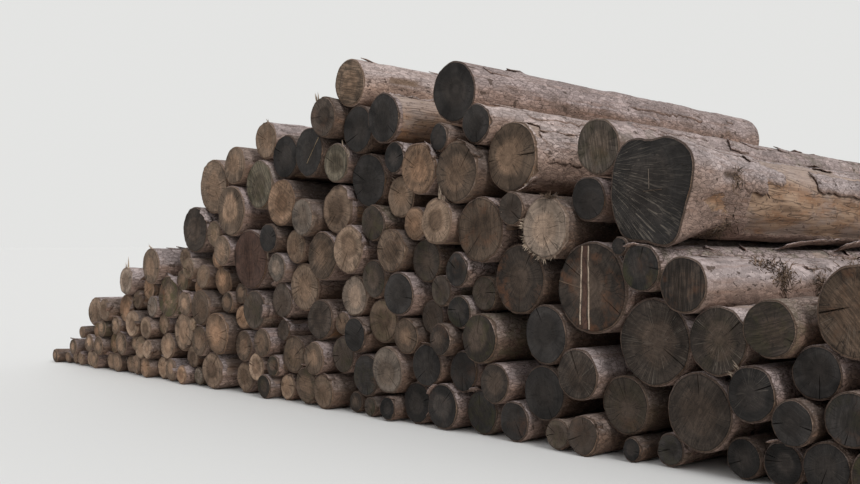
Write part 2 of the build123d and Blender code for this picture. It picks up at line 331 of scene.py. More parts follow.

# what the other faces look like, by how far along the heap they lie in centimetres; the darker
# tints towards the right are partly painted shade
MIXES = [
    (300, ["tan", "tan", "brown", "tan", "grey", "orange", "tan", "brown", "tan", "tan"]),
    (440, ["tan", "tan", "brown", "grey", "tan", "orange", "brown", "brown"]),
    (560, ["brown", "brown", "dark", "grey", "dark", "tan"]),
    (690, ["brown", "dark", "dark", "black", "dark", "brown"]),
    (1400, ["dark", "black", "dark", "black", "dark", "black"]),
]
SUNLIT_UP_TO = 500  # painted light: the faces before this place are a fifth lighter, as if they caught the sun
REAR_MIX = ["tan", "brown", "grey", "brown", "orange", "dark"]

draw = np.random.default_rng(31)
LATTICE_SIZE = 4096  # a power of two
LATTICE = draw.uniform(-1, 1, LATTICE_SIZE)
SCATTER = (73856093, 19349663, 83492791)  # primes that scatter neighbours over the lattice


def noise(x, y, z):
    """Smooth noise between -1 and 1, with a grain of one unit."""
    spots = np.broadcast_arrays(x, y, z)
    cells = [np.floor(spot).astype(np.int64) for spot in spots]
    parts = [spot - cell for spot, cell in zip(spots, cells)]
    parts = [part * part * (3 - 2 * part) for part in parts]
    total = np.zeros(parts[0].shape)
    for corner in range(8):
        bits = (corner & 1, corner >> 1 & 1, corner >> 2 & 1)
        weight = 1.0
        for bit, part in zip(bits, parts):
            weight = weight * (part if bit else 1 - part)
        key = 0
        for cell, bit, prime in zip(cells, bits, SCATTER):
            key = key ^ (cell + bit) * prime
        total += weight * LATTICE[key & (LATTICE_SIZE - 1)]
    return total


def rough(x, y, z):
    """Noise with finer noise on it."""
    return noise(x, y, z) + 0.5 * noise(2.1 * x + 7, 2.1 * y, 2.1 * z) \
        + 0.25 * noise(4.3 * x, 4.3 * y + 3, 4.3 * z)


def ease(value, low, high):
    """0 below low, 1 above high and smooth between them."""
    share = np.clip((value - low) / (high - low), 0, 1)
    return share * share * (3 - 2 * share)


class Log:
    """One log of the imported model, with its butt and its top end. give_looks adds its look."""

    def __init__(self, node, corners):
        self.node = node
        depth = corners[:, 1]
        self.front = depth.min()
        self.back = depth.max()
        self.butt, self.butt_radius = fit_round(corners[depth < self.front + AT_CUT])
        self.top, self.top_radius = fit_round(corners[depth > self.back - AT_CUT])

    def middle(self, depth):
        """The middle of the log at a depth, as x and z."""
        share = (depth - self.front) / (self.back - self.front)
        x = self.butt[0] + (self.top[0] - self.butt[0]) * share
        z = self.butt[1] + (self.top[1] - self.butt[1]) * share
        return x, z

    def radius(self, depth):
        share = (depth - self.front) / (self.back - self.front)
        if self.node != HEART:
            return self.butt_radius + (self.top_radius - self.butt_radius) * share
        stem = self.butt_radius * STEM_SHARE
        flare = 1 - ease(depth - self.front, 0, FLARE_LENGTH)
        return stem + (self.top_radius - stem) * share + (self.butt_radius - stem) * flare

    def on(self, theta, reach, depth):
        """Corners at a direction and reach from the middle of the log."""
        x, z = self.middle(depth)
        return np.stack(np.broadcast_arrays(
            x + reach * np.cos(theta), depth, z + reach * np.sin(theta)), axis=-1)

    def spot(self, points, pith=(0, 0)):
        """Where corners lie off the pith and along the log, shifted by its luck."""
        mid_x, mid_z = self.middle(points[:, 1])
        return np.column_stack([points[:, 0] - mid_x - pith[0],
                                points[:, 1] - self.front + self.luck,
                                points[:, 2] - mid_z - pith[1]])

    def level(self, x, z, rear=False):
        """The depth of the cut at a point, as the saw leaned."""
        lean = self.tilt[2:] if rear else self.tilt[:2]
        end = self.back if rear else self.front
        mid_x, mid_z = self.middle(end)
        swing = np.abs(lean).sum() * self.butt_radius
        return end + (-1 if rear else 1) * (
            swing + lean[0] * (x - mid_x) + lean[1] * (z - mid_z))

    def place(self):
        """Where the butt lies on the face, in centimetres."""
        return (self.butt[0] - HEAP_LEFT) * 100, self.butt[1] * 100


def fit_round(corners):
    """The middle and radius of a section's corners, apart from a corner that lies inside."""
    x, z = corners[:, 0], corners[:, 2]
    for _ in range(2):
        terms = np.column_stack([x, z, np.ones(len(x))])
        a, b, c = np.linalg.lstsq(terms, x * x + z * z, rcond=None)[0]
        middle = (a / 2, b / 2)
        radius = np.sqrt(c + middle[0] ** 2 + middle[1] ** 2)
        off = np.abs(np.hypot(x - middle[0], z - middle[1]) - radius)
        if off.max() < TRUE_ROUND:
            break
        keep = off < off.max()
        x, z = x[keep], z[keep]
    return middle, radius


def read_logs(node, mesh):
    """The logs of one node. Each is a loose part of the node's mesh."""
    corners = np.array([vertex.co for vertex in mesh.vertices])
    keys = np.round(corners / SAME_PLACE).astype(np.int64)
    first, member = np.unique(keys, axis=0, return_index=True, return_inverse=True)[1:]
    ends = member.ravel()[np.array([edge.vertices[:] for edge in mesh.edges])]
    label = np.arange(len(first))
    while True:
        lowest = label[ends].min(axis=1)
        reached = label.copy()
        np.minimum.at(reached, ends[:, 0], lowest)
        np.minimum.at(reached, ends[:, 1], lowest)
        reached = reached[reached]
        if (reached == label).all():
            break
        label = reached
    return [Log(node, corners[first[label == one]]) for one in np.unique(label)]


def find_open_sides(logs):
    """Notes for each log how much sky its side sees, all the way round."""
    x, z, radius = np.array([(*log.butt, log.butt_radius) for log in logs]).T
    around = np.linspace(0, 2 * pi, SKY_WAYS, endpoint=False)
    leans = np.radians(SKY_LEANS)
    for index, log in enumerate(logs):
        to_x = x - (log.butt[0] + log.butt_radius * np.cos(around))[:, None]
        to_z = z - (log.butt[1] + log.butt_radius * np.sin(around))[:, None]
        free = np.zeros(len(around))
        for lean in leans:
            ray_x, ray_z = np.cos(around + lean)[:, None], np.sin(around + lean)[:, None]
            ahead = to_x * ray_x + to_z * ray_z > 0
            hit = ahead & (np.abs(to_x * ray_z - to_z * ray_x) < radius)
            hit[:, index] = False
            free += ~hit.any(axis=1) & (ray_z[:, 0] > LOWEST_RAY)
        log.around = around
        log.openness = free / len(leans)


def give_looks(logs):
    """Gives each log its tints and marks, from the list above or by lot."""
    for log in sorted(logs, key=lambda one: (round(one.butt[0], 3), round(one.butt[1], 3))):
        log.luck = float(draw.uniform(0, 90))
        place, height = log.place()
        mix = next(tints for limit, tints in MIXES if place < limit)
        log.tint = mix[draw.integers(len(mix))]
        log.rear_tint = REAR_MIX[draw.integers(len(REAR_MIX))]
        log.bark_shade = draw.uniform(0.86, 1.16)
        # painted light: faces at the left of the heap are a fifth lighter
        log.shade = log.bark_shade * (1.2 if place < SUNLIT_UP_TO else 1.0)
        log.look = dict(
            bark=["ash", "rose", "umber", "soot"][draw.integers(4)],
            heart=draw.uniform(-0.6, 0.8), fan=draw.uniform(0, 0.3) ** 1.5,
            ridges=draw.uniform(0.1, 0.7), moss=max(0.0, draw.uniform(-0.5, 0.4)),
            rust=max(0.0, draw.uniform(-0.4, 0.4)), peel=draw.uniform(0.02, 0.2),
            torn=draw.uniform(0.3, 1.2), smooth=draw.uniform(0.1, 0.5), lobes=1.0,
            splits=[(draw.uniform(0, 360), draw.uniform(0.0015, 0.004), draw.uniform(0, 0.5))
                    for _ in range(draw.integers(1, 3))])
        log.pith = draw.uniform(-1, 1, 2) * PITH_SHARE * log.butt_radius
        log.tilt = np.tan(np.radians(draw.uniform(-1, 1, 4) * CUT_TILT))
        log.listed = False
        least, most = zip((0, 2 * pi), KNOT_PLACES, KNOT_SIZES)
        log.knots = draw.uniform(least, most, (draw.integers(*KNOTS), 3)).tolist()
    for place, height, tint, marks in LOOKS:
        def away(one):
            return hypot(one.place()[0] - place, one.place()[1] - height)

        log = min(logs, key=away)
        if log.listed or away(log) > OWN_LOG:
            print("no log of its own at", place, height)
        log.tint = tint
        log.shade = marks.get("shade", 1.0)
        log.bark_shade = 1.0
        log.look.update(moss=0.0, rust=0.0, fan=0.0)
        log.look.update(marks)
        if "grain" in marks:
            log.luck = (2 * pi * round(log.luck / 2) + radians(marks["grain"])) / GRAIN_TURN
        log.listed = True


def columns_round(log):
    """The corners round a log: their directions, and for a split its number and its side."""
    fine = np.linspace(0, 2 * pi, 720, endpoint=False)
    open_here = np.interp(fine, log.around, log.openness, period=2 * pi) > OPEN_SPOT
    log.is_open = bool(open_here.mean() > OPEN_LOG)
    spacing = np.where(open_here, OPEN_SPACING, HIDDEN_SPACING)
    if log.listed:
        spacing = np.minimum(spacing, LISTED_SPACING)
    spacing = np.minimum(spacing, 2 * pi * log.butt_radius / FEWEST_COLUMNS)
    passed = np.cumsum(log.butt_radius / spacing) * (fine[1] - fine[0])
    count = int(round(passed[-1]))
    angles = np.interp((np.arange(count) + 0.5) * passed[-1] / count, passed, fine)
    columns = [(angle, -1, 0) for angle in angles]
    for number, (direction, half_width, _) in enumerate(log.look["splits"]):
        middle = radians(direction) % (2 * pi)
        clear = 2.5 * half_width / log.butt_radius + 0.01
        columns = [one for one in columns if abs(angle_off(one[0], middle)) > clear]
        columns += [(middle + side * 1e-4, number, side) for side in (-1, 0, 1)]
    columns.sort()
    return [np.array(values) for values in zip(*columns)]


def heart_reach(theta):
    """How far the heart-shaped face reaches, with the corners of its outline rounded off."""
    directions, reaches = zip(*HEART_OUTLINE)
    turned = np.degrees(theta)
    return sum(np.interp(turned + shift, directions, reaches, period=360)
               for shift in (-8, -4, 0, 4, 8)) / 5


def angle_off(theta, direction):
    """How far a direction is turned from another, from -pi to pi."""
    return (theta - direction + pi) % (2 * pi) - pi


def outside(log, theta, depth):
    """How far the bark reaches from the middle of the log."""
    radius = log.radius(depth)
    along = depth - log.front
    cx, cz = np.cos(theta), np.sin(theta)
    round_share = LOBES * log.look["lobes"] * (0.5 - 0.5 * noise(
        1.2 * cx + log.luck, 1.2 * cz, 0.35 * along))
    reach = radius * (1 - round_share)
    wide = log.butt_radius
    reach = reach + LUMPS * (noise(9 * wide * cx, 9 * wide * cz + log.luck, 4 * along) - 0.5)
    reach = reach + KNUBS * noise(34 * wide * cx + log.luck, 34 * wide * cz, 17 * along)
    if log.node == HEART:
        length = FLARE_LENGTH + FREE_FLARE * ease(np.cos(theta - FREE_SIDE), 0.1, 0.8)
        grown = heart_reach(theta) - log.butt_radius
        reach = reach + grown * (1 - ease(along, -0.3 * length, length))
    if "scar" in log.look:
        reach = reach - SCAR_DEPTH * scar_share(log, theta, along)
    if log.is_open:
        for direction, at, size in log.knots:
            gap = ((angle_off(theta, direction) * wide) ** 2 + (along - at) ** 2) / size ** 2
            reach = reach + KNOT_RISE * size * np.exp(-gap)
    return reach


def scar_share(log, theta, along):
    """Where an old dark scar lies along the barrel, from 0 to 1."""
    direction, near, far, half = log.look["scar"]
    off = np.abs(angle_off(theta, radians(direction))) * log.butt_radius
    across = 1 - ease(off, half, half + 0.015)
    return across * ease(along, near, near + 0.04) * (1 - ease(along, far, far + 0.04))


def knot_share(log, theta, along):
    """Where a knot or scar shows, from 0 to 1."""
    share = np.zeros(theta.shape)
    if "scar" in log.look:
        share = 1.3 * scar_share(log, theta, along)
    for direction, at, size in log.knots:
        off = angle_off(theta, direction) * log.butt_radius
        gap = (off ** 2 + (along - at) ** 2) / (0.6 * size) ** 2
        share = np.maximum(share, np.exp(-gap))
    return 0.7 * share


def bark_depth(log, theta):
    """How thick the bark is."""
    thick = BARK_THICKNESS + BARK_PER_RADIUS * log.butt_radius
    if "thick" in log.look:
        direction, extra = log.look["thick"]
        thick = thick + extra * np.maximum(0, np.cos(theta - radians(direction))) ** 3
    return thick


def bare_share(log, theta, along):
    """Where the bark has come off the barrel, from 0 to 1."""
    cx, cz = np.cos(theta) * log.butt_radius, np.sin(theta) * log.butt_radius
    patch = rough(2.6 * cx, 2.6 * cz + log.luck, 0.9 * along + 11)
    patch = patch + 0.3 * noise(16 * cx, 16 * cz, 6 * along + log.luck)
    edge = 0.95 - 1.9 * log.look["peel"]
    for direction, half, start, stop in log.look.get("strips", []):
        off = np.abs(angle_off(theta, radians(direction))) / radians(half)
        inside = ease(along, start, start + 0.35) * (1 - ease(along, stop, stop + 0.1))
        edge = edge - 2.2 * (1 - ease(off, 0.6, 1.3)) * inside
    return ease(patch, edge - 0.16, edge + 0.16)


def turn(side, half_width, start, share):
    """How far a split shifts its corners sideways, and its depth there from 0 to 1."""
    open_share = np.clip((share - start) / 0.3, 0, 1) ** 0.7
    return side * (half_width * open_share + 0.0004), open_share * (side == 0)


def add_object(name, data):
    made = bpy.data.objects.new(name, data)
    bpy.context.scene.collection.objects.link(made)
    return made


class Piece:
    """The timber of one node: corners, faces, and what the materials read at each corner."""

    READS = ["spot", "wood", "bark", "marks", "wear", "zone"]

    def __init__(self):
        self.points = []
        self.reads = {name: [] for name in self.READS}
        self.faces = []
        self.kinds = []
        self.count = 0

    def add(self, points, reads, faces, kinds):
        points = np.array(points, float).reshape(-1, 3)
        points[:, 2] = np.maximum(points[:, 2], FLOOR_GAP)
        self.points.append(points)
        for name in self.READS:
            value = np.asarray(reads[name], float)
            self.reads[name].append(np.broadcast_to(value, (len(points), 3)))
        self.faces += [np.asarray(group) + self.count for group in faces]
        self.kinds += [np.broadcast_to(kind, len(group)) for kind, group in zip(kinds, faces)]
        self.count += len(points)

    def build(self, name, materials):
        kinds = np.concatenate(self.kinds)
        faces = [face for group in self.faces for face in group.tolist()]
        mesh = bpy.data.meshes.new(name)
        mesh.from_pydata(np.concatenate(self.points), [], faces)
        mesh.polygons.foreach_set("material_index", kinds)
        mesh.polygons.foreach_set("use_smooth", kinds == BARK_KIND)
        for key in self.READS:
            layer = mesh.attributes.new(key, "FLOAT_VECTOR", "POINT")
            layer.data.foreach_set("vector", np.concatenate(self.reads[key]).ravel())
        for material in materials:
            mesh.materials.append(material)
        mesh.validate()
        return add_object(name, mesh)


def log_reads(log, rear):
    """What the materials read that is the same all over a log's half."""
    look = log.look
    tint, shade, fan = (log.rear_tint, 1.0, 0.1) if rear else (log.tint, log.shade, look["fan"])
    return dict(
        wood=np.array(TINTS[tint]) * shade,
        bark=np.array(BARKS[look["bark"]]) * log.bark_shade,
        marks=(look["heart"], fan, look["ridges"]),
        wear=(look["moss"], look["rust"], look["smooth"]))


def ring(x, depth, z, zone, kind):
    """Corners round a log, where they lie in its zones, and the kind of their surface."""
    points = np.column_stack(np.broadcast_arrays(x, depth, z))
    return points, np.column_stack(np.broadcast_arrays(x, *zone)[1:]), kind


def end_rings(log, theta, split, side, rear):
    """The rings of one end, from the pith outwards and on to the whole bark."""
    end, inward = (log.back, -1) if rear else (log.front, 1)
    cx, cz = np.cos(theta), np.sin(theta)
    mid_x, mid_z = log.middle(end)
    thick = bark_depth(log, theta)
    shell = outside(log, theta, end)
    wood = shell - thick
    edge = log.level(mid_x + wood * cx, mid_z + wood * cz, rear)
    torn = TORN_BACK + TORN_SWING * rough(2.4 * cx + log.luck, 2.4 * cz, 0.0) \
        + TORN_FRAY * noise(11 * cx, 11 * cz + log.luck, 1.0)
    torn = np.clip(torn * log.look["torn"], *TORN_RANGE)
    peeled = np.clip(0.55 + 0.9 * noise(3.1 * cx, 3.1 * cz, log.luck), 0.1, 1)
    rings = []
    for share in (LISTED_SHARES if log.listed else PLAIN_SHARES) + [1.0]:
        reach = share * wood if share < 1 else wood - 0.002
        x = mid_x + log.pith[0] * (1 - share) + reach * cx
        z = mid_z + log.pith[1] * (1 - share) + reach * cz
        level = log.level(x, z, rear) + SAW_MARKS * noise(30 * x, 30 * z, log.luck)
        for number, (_, half_width, start) in enumerate(log.look["splits"]):
            here = split == number
            shift, sink = turn(side, half_width, start, share)
            x = np.where(here, x - cz * shift, x)
            z = np.where(here, z + cx * shift, z)
            level = np.where(here, level + inward * SPLIT_DEPTH * sink, level)
        rings.append(ring(x, level, z, (share, 1, 0), SAWN_KIND))
    steps = [(wood, 0.002, (1, 1, 0), SAWN_KIND),
             (wood, 0.55 * torn + 0.002, (1, peeled, 0.75), BARK_KIND),
             (wood, torn + 0.003, (1, peeled, 0.75), BARK_KIND),
             (shell - 0.3 * thick, torn + 0.004, (1, 0, 1), BARK_KIND),
             (shell, torn + 0.010, (1, 0, 0), BARK_KIND)]
    for reach, step, zone, kind in steps:
        rings.append(ring(mid_x + reach * cx, edge + inward * step, mid_z + reach * cz,
                          zone, kind))
    return rings[::inward]


def barrel_rings(log, theta):
    """The rings of the barrel between its two ends."""
    thick = bark_depth(log, theta)
    step = OPEN_STEP if log.is_open else HIDDEN_STEP
    length = log.back - log.front - 2 * END_ZONE
    rings = []
    for depth in np.linspace(log.front + END_ZONE, log.back - END_ZONE,
                             int(round(length / step)) + 1):
        bare = bare_share(log, theta, depth - log.front)
        knots = knot_share(log, theta, depth - log.front) if log.is_open else 0
        x, _, z = log.on(theta, outside(log, theta, depth) - thick * bare, depth).T
        rings.append(ring(x, depth, z, (1, bare, knots), BARK_KIND))
    return rings


def add_log(piece, log):
    """Adds one log: sawn face, torn bark edge, barrel, and the same again at its top end."""
    theta, split, side = columns_round(log)
    rings, zones, kinds = zip(*(end_rings(log, theta, split, side, False)
                                + barrel_rings(log, theta)
                                + end_rings(log, theta, split, side, True)))

    # rings next to each other are joined, and each end closes on its pith
    many, count = len(theta), len(rings)
    base = np.arange(many)
    after = np.roll(base, -1)
    faces, face_kinds = [], []
    for index in range(count - 1):
        near, far = index * many, (index + 1) * many
        faces.append(np.column_stack([near + base, far + base, far + after, near + after]))
        face_kinds.append(max(kinds[index:index + 2]))
    hub = count * many
    last = hub - many
    faces.append(np.column_stack([np.full(many, hub), base, after]))
    faces.append(np.column_stack([np.full(many, hub + 1), last + after, last + base]))
    face_kinds += [SAWN_KIND, SAWN_KIND]
    hubs = []
    for end, nearest in ((log.front, rings[0]), (log.back, rings[-1])):
        mid_x, mid_z = log.middle(end)
        hubs.append((mid_x + log.pith[0], nearest[:, 1].mean(), mid_z + log.pith[1]))

    points = np.concatenate([*rings, hubs])
    half = (points[:, 1] < (log.front + log.back) / 2)[:, None]
    near_reads, far_reads = log_reads(log, False), log_reads(log, True)
    reads = {key: np.where(half, near_reads[key], far_reads[key]) for key in near_reads}
    reads.update(spot=log.spot(points, log.pith),
                 zone=np.concatenate([*zones, [(0, 1, 0), (0, 1, 0)]]))
    piece.add(points, reads, faces, face_kinds)


def dress(log, points, tint, bare):
    """What the materials read on something small that hangs on a log."""
    return dict(spot=log.spot(points), wood=TINTS[tint], bark=BARKS[log.look["bark"]],
                marks=(0, 0, 0.2), wear=(0, 0, 0.3), zone=(0.85, bare, 0))


def add_sheet(piece, log, outer, inner, tint, bare, kind):
    """Adds a thin closed slab between two grids of corners."""
    rows, columns = outer.shape[:2]
    many = rows * columns
    number = np.arange(many).reshape(rows, columns)
    corners = [number[:-1, :-1], number[1:, :-1], number[1:, 1:], number[:-1, 1:]]
    top = np.stack(corners, axis=-1).reshape(-1, 4)
    rim = np.concatenate([number[0], number[1:, -1], number[-1, -2::-1], number[-2:0:-1, 0]])
    ahead = np.roll(rim, -1)
    faces = [top, top[:, ::-1] + many, np.column_stack([rim, ahead, ahead + many, rim + many])]
    points = np.concatenate([outer.reshape(-1, 3), inner.reshape(-1, 3)])
    piece.add(points, dress(log, points, tint, bare), faces, [kind] * 3)


def add_plate(piece, log, directions, alongs, thick, lift=0.0):
    """Adds a ragged plate of bark on a barrel. With a lift its near edge stands off the log."""
    low, high = directions
    near, far = alongs
    wide, long = (high - low) * log.butt_radius, far - near
    rows = int(np.clip(long / PLATE_ROW, 3, 22))
    columns = int(np.clip(wide / PLATE_COLUMN, 3, 16))
    u, v = np.meshgrid(np.linspace(0, 1, columns), np.linspace(0, 1, rows))
    key = draw.uniform(0, 90)
    fray_across = min(0.2, 0.022 / wide) * rough(30 * long * v, key, 0.0)
    fray_along = min(0.3, 0.045 / long) * rough(28 * wide * u, key, 5.0)
    theta = low + (high - low) * (u + fray_across * 2 * np.abs(u - 0.5))
    depth = log.front + near + long * (v + fray_along * 2 * np.abs(v - 0.5))
    beside = np.minimum(np.minimum(u, 1 - u) * wide, np.minimum(v, 1 - v) * long)
    surface = outside(log, theta, depth) + lift * (1 - v) ** 2
    outer = surface + thick * (0.45 + 0.55 * ease(beside, 0, 0.03))
    grids = [log.on(theta, reach, depth) for reach in (outer, surface - PLATE_SUNK)]
    add_sheet(piece, log, *grids, "brown", 0.0, BARK_KIND)


def add_slivers(piece, log, feet, tips, widths, tint):
    """Adds pointed slivers of wood, each on a three-cornered foot."""
    way = tips - feet
    length = np.linalg.norm(way, axis=1)[:, None]
    side = np.cross(way, (0.31, 0.82, 0.48))
    side /= np.linalg.norm(side, axis=1)[:, None]
    other = np.cross(way / length, side)
    bend = draw.uniform(-0.12, 0.12, (len(way), 1)) * length
    rings = []
    for share, girth in ((0, 1.0), (0.55, 0.6)):
        middle = feet + share * way + bend * side * (share > 0)
        for turned in (0, 2 * pi / 3, 4 * pi / 3):
            rings.append(middle + girth * widths[:, None] * (cos(turned) * side
                                                            + sin(turned) * other))
    points = np.stack(rings + [tips], axis=1)
    first = np.arange(len(way))[:, None] * 7
    quads = [first + np.array([k, (k + 1) % 3, (k + 1) % 3 + 3, k + 3]) for k in range(3)]
    tips_up = [first + np.array([k + 3, (k + 1) % 3 + 3, 6]) for k in range(3)]
    faces = quads + tips_up + [first + np.array([0, 2, 1])]
    points = points.reshape(-1, 3)
    piece.add(points, dress(log, points, tint, 1.0), faces, [SAWN_KIND] * len(faces))


def add_spikes(piece, log, low, high, count, length):
    """Adds torn slivers that stand on the rim of the sawn face."""
    theta = np.radians(draw.uniform(low, high, count))
    feet = log.on(theta, outside(log, theta, log.front) - 0.006, log.front)
    feet[:, 1] = log.level(feet[:, 0], feet[:, 2]) + 0.012
    lengths = length * draw.uniform(0.4, 1.0, count) ** 2
    lean = draw.uniform(-0.5, 0.5, (count, 3))
    way = np.column_stack([np.cos(theta), np.full(count, -0.5), np.sin(theta)]) + lean
    if length > LONG_SPIKE:
        way = np.column_stack([0.25 * np.cos(theta), np.full(count, -0.08), np.ones(count)])
        way = way + 0.25 * lean
    way /= np.linalg.norm(way, axis=1)[:, None]
    widths = np.clip(0.12 * lengths, *SPIKE_WIDTHS) * draw.uniform(0.6, 1.2, count)
    add_slivers(piece, log, feet, feet + lengths[:, None] * way, widths, "cream")


def add_rail(piece, log, x_top, z_top, x_low, z_low, half_width, tint):
    """Adds a thin raised line across the sawn face."""
    mid_x, mid_z = log.middle(log.front)
    share = np.linspace(0, 1, RAIL_STEPS)
    x = mid_x + x_top + (x_low - x_top) * share + 0.4 * half_width * rough(9 * share, x_top, 0.0)
    z = mid_z + z_top + (z_low - z_top) * share
    theta = np.arctan2(z - mid_z, x - mid_x)
    inside = outside(log, theta, log.front) - bark_depth(log, theta)
    keep = np.hypot(x - mid_x, z - mid_z) < inside
    x, z = x[keep], z[keep]
    across = np.array([z_top - z_low, x_low - x_top]) / hypot(x_low - x_top, z_low - z_top)
    outer, inner = [], []
    for step, rise in zip((-1, 0, 1), RAIL_RISE):
        there_x = x + across[0] * step * half_width
        there_z = z + across[1] * step * half_width
        level = log.level(there_x, there_z)
        outer.append(np.column_stack([there_x, level - rise, there_z]))
        inner.append(np.column_stack([there_x, level + 0.006, there_z]))
    add_sheet(piece, log, np.stack(outer, axis=1), np.stack(inner, axis=1), tint, 1.0, SAWN_KIND)


def add_litter(piece, log, direction, along, spread, count):
    """Adds a clump of dry needles, twigs and bark crumbs that lies on a barrel."""
    theta = radians(direction) + draw.normal(0, 0.5 * spread, count) / log.butt_radius
    depth = log.front + np.maximum(along + draw.normal(0, 0.6 * spread, count), 0.01)
    reach = outside(log, theta, depth) + draw.uniform(*LITTER_LIFTS, count)
    feet = log.on(theta, reach, depth)
    out = np.column_stack([np.cos(theta), np.zeros(count), np.sin(theta)])
    way = draw.normal(0, 1, (count, 3)) * (0.8, 1, 0.8)
    way = way - (0.6 * (way * out).sum(axis=1))[:, None] * out + 0.25 * out
    way /= np.linalg.norm(way, axis=1)[:, None]
    lengths = draw.uniform(*LITTER_LENGTHS, count)
    widths = draw.uniform(*LITTER_WIDTHS, count)
    tips = feet + lengths[:, None] * way
    parts = (0, count // 3, 5 * count // 6, count)
    for first, last, tint in zip(parts, parts[1:], ("tan", "brown", "dark")):
        part = slice(first, last)
        add_slivers(piece, log, feet[part], tips[part], widths[part], tint)


def add_marks(piece, log):
    """Adds what stands off a log: plates and flaps of bark, spikes, lines and litter."""
    look = log.look
    for low, high, out, lift in look.get("flaps", []):
        add_plate(piece, log, np.radians([low, high]), (-out, FLAP_BACK), FLAP_THICK, lift)
    # hanging plates also stand in for the shade in the gap beneath a log
    for name, thick, lift in (("plates", PLATE_THICK, 0.0),
                              ("hanging", HANGING_SHADE_THICK, HANGING_SHADE_LIFT)):
        for low, high, near, far in look.get(name, []):
            add_plate(piece, log, np.radians([low, high]), (near, far), thick, lift)
    for name, add in (("spikes", add_spikes), ("rails", add_rail), ("litter", add_litter)):
        for values in look.get(name, []):
            add(piece, log, *values)
    if not log.listed and draw.uniform() < 0.5:
        low = draw.uniform(-20, 120)
        add_plate(piece, log, np.radians([low, low + draw.uniform(*SMALL_FLAP_ARCS)]),
                  (-draw.uniform(*SMALL_FLAP_OUT), SMALL_FLAP_BACK), SMALL_FLAP_THICK,
                  draw.uniform(*SMALL_FLAP_OUT))
    if not log.is_open:
        return
    open_ways = log.around[log.openness > SCALES_SKY]
    for _ in range(SCALES_A_LOG if len(open_ways) else 0):
        at = open_ways[draw.integers(len(open_ways))] + draw.uniform(-0.1, 0.1)
        wide = draw.uniform(*SCALE_WIDTHS) / log.butt_radius
        near = draw.uniform(*SCALES_AT)
        long = draw.uniform(*SCALE_LENGTHS)
        lift = draw.uniform(*SCALE_LIFTS) if draw.uniform() < 0.5 else 0.0
        if bare_share(log, np.array([at]), near + 0.5 * long)[0] > 0.3:
            continue
        add_plate(piece, log, (at, at + wide), (near, near + long), FLAP_THICK, lift)


class Value:
    """An output in a material's nodes. Sums and products of it are Math nodes."""

    def __init__(self, shader, socket):
        self.shader = shader
        self.socket = socket

    def __add__(self, other):
        return self.shader.math("ADD", self, other)

    def __sub__(self, other):
        return self.shader.math("SUBTRACT", self, other)

    def __rsub__(self, other):
        return self.shader.math("SUBTRACT", other, self)

    def __mul__(self, other):
        return self.shader.math("MULTIPLY", self, other)

    def __truediv__(self, other):
        return self.shader.math("DIVIDE", self, other)

    def __rtruediv__(self, other):
        return self.shader.math("DIVIDE", other, self)

    __radd__ = __add__
    __rmul__ = __mul__


class Shader:
    """The nodes of a material or of the world, built one by one."""

    def __init__(self, owner):
        owner.use_nodes = True
        self.owner = owner
        self.tree = owner.node_tree
        self.tree.nodes.clear()

    def node(self, kind, inputs, output=0, **settings):
        """Adds a node and gives one of its outputs."""
        made = self.tree.nodes.new("ShaderNode" + kind)
        for key, value in settings.items():
            setattr(made, key, value)
        for key, value in inputs.items():
            if isinstance(value, Value):
                self.tree.links.new(value.socket, made.inputs[key])
            else:
                made.inputs[key].default_value = value
        return Value(self, made.outputs[output])

    def end(self, kind, surface):
        """Adds the node that the whole tree ends in."""
        last = self.tree.nodes.new("ShaderNode" + kind)
        self.tree.links.new(surface.socket, last.inputs["Surface"])

    def read(self, name):
        return self.node("Attribute", {}, "Vector", attribute_name=name)

    def split(self, vector):
        first = self.node("SeparateXYZ", {0: vector})
        return [Value(self, socket) for socket in first.socket.node.outputs]

    def join(self, x, y, z):
        return self.node("CombineXYZ", {0: x, 1: y, 2: z})

    def math(self, operation, a, b=0.0):
        return self.node("Math", {0: a, 1: b}, operation=operation)

    def highest(self, a, b):
        return self.math("MAXIMUM", a, b)

    def scale(self, vector, sizes):
        return self.node("VectorMath", {0: vector, 1: sizes}, operation="MULTIPLY")

    def noise(self, vector, size, detail=2.0, roughness=0.5, distortion=0.0, output="Fac"):
        return self.node("TexNoise", {
            "Vector": vector, "Scale": size, "Detail": detail, "Roughness": roughness,
            "Distortion": distortion}, output)

    def ease(self, value, low, high, start=0.0, end=1.0):
        return self.node("MapRange", {
            "Value": value, "From Min": low, "From Max": high, "To Min": start, "To Max": end},
            interpolation_type="SMOOTHSTEP")

    def mix(self, share, first, second, blend="MIX"):
        first, second = [colour if isinstance(colour, Value) else (*colour, 1.0)
                         for colour in (first, second)]
        return self.node("Mix", {0: share, 6: first, 7: second}, 2,
                         data_type="RGBA", blend_type=blend)

    def times(self, colour, level):
        return self.node("VectorMath", {0: colour, "Scale": level}, operation="SCALE")

    def vary(self, colour, value, start, end, low=0.3, high=0.7):
        """Makes a colour lighter or darker with a value."""
        return self.times(colour, self.ease(value, low, high, start, end))

    def lines(self, vector, size, width, detail=2.0):
        """Thin lines, 1 on a line and 0 off it."""
        off = self.math("ABSOLUTE", self.noise(vector, size, detail) - 0.5)
        return self.ease(off, 0.0, width, 1.0, 0.0)

    def finish(self, colour, roughness, height, distance, specular):
        bump = self.node("Bump", {"Height": height, "Distance": distance,
                                            "Strength": 1.0})
        self.end("OutputMaterial", self.node("BsdfPrincipled", {
            "Base Color": colour, "Roughness": roughness, "Specular IOR Level": specular,
            "Normal": bump}))
        return self.owner


